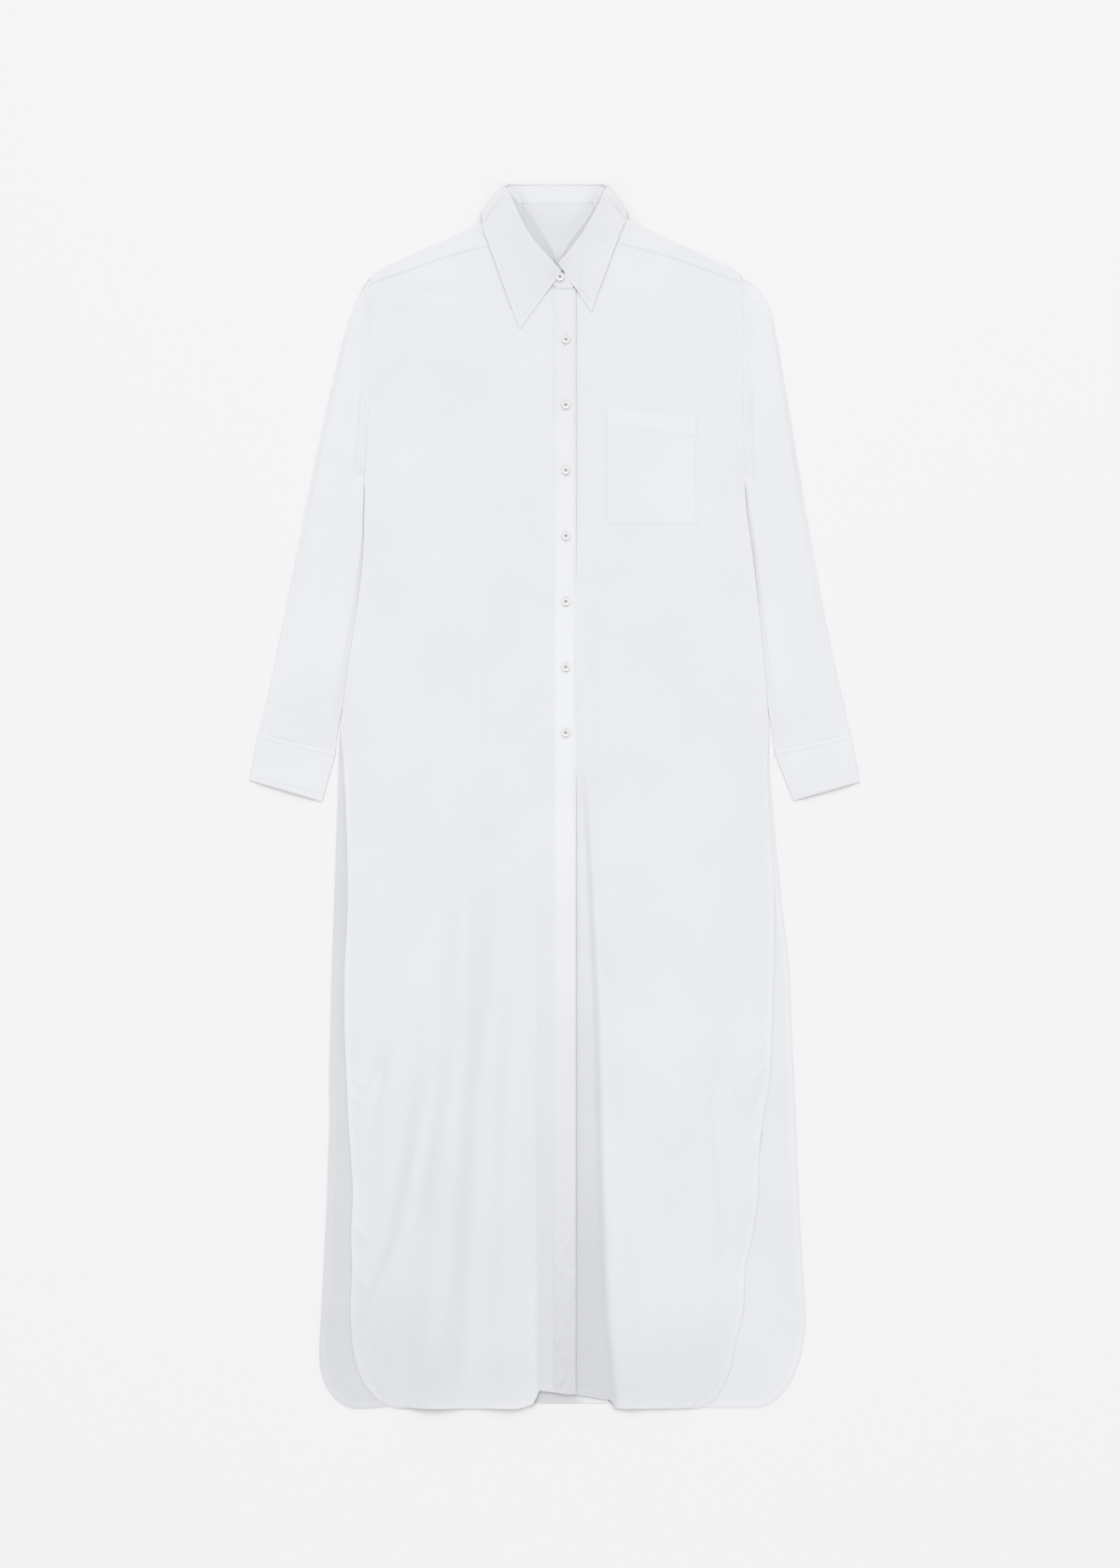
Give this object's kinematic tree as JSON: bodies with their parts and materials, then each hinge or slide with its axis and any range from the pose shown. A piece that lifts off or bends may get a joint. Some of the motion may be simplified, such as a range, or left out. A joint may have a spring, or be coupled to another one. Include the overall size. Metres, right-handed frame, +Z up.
{
  "type": "shirt dress",
  "caption": "Long white cotton shirt dress laid flat, with pointed collar, buttoned placket, chest pocket, long cuffed sleeves and side slits.",
  "frame": {"origin": "middle of the dress's outline on the surface it lies on", "axes": "+Y to the collar along the dress's length, -Y to the hem, +X to the wearer's left, +Z up out of the front"},
  "size_m": [0.7324, 1.4684, 0.0186],
  "materials": {
    "cotton": "matt woven cotton poplin",
    "placket_cotton": "matt woven cotton poplin, interlined",
    "buttons": "pearly, polished"
  },
  "bodies": {
    "root": {"back": "cotton", "yoke": "cotton", "front_right": "cotton", "front_left": "cotton", "placket_right": "placket_cotton", "placket_left": "placket_cotton", "chest_pocket": "cotton", "collar_fall": "cotton", "collar_stand": "cotton", "sleeve_right": "cotton", "sleeve_left": "cotton", "cuff_right": "cotton", "cuff_left": "cotton", "front_button_1": "buttons", "front_button_2": "buttons", "front_button_3": "buttons", "front_button_4": "buttons", "front_button_5": "buttons", "front_button_6": "buttons", "front_button_7": "buttons", "collar_button": "buttons"}
  },
  "joints": []
}
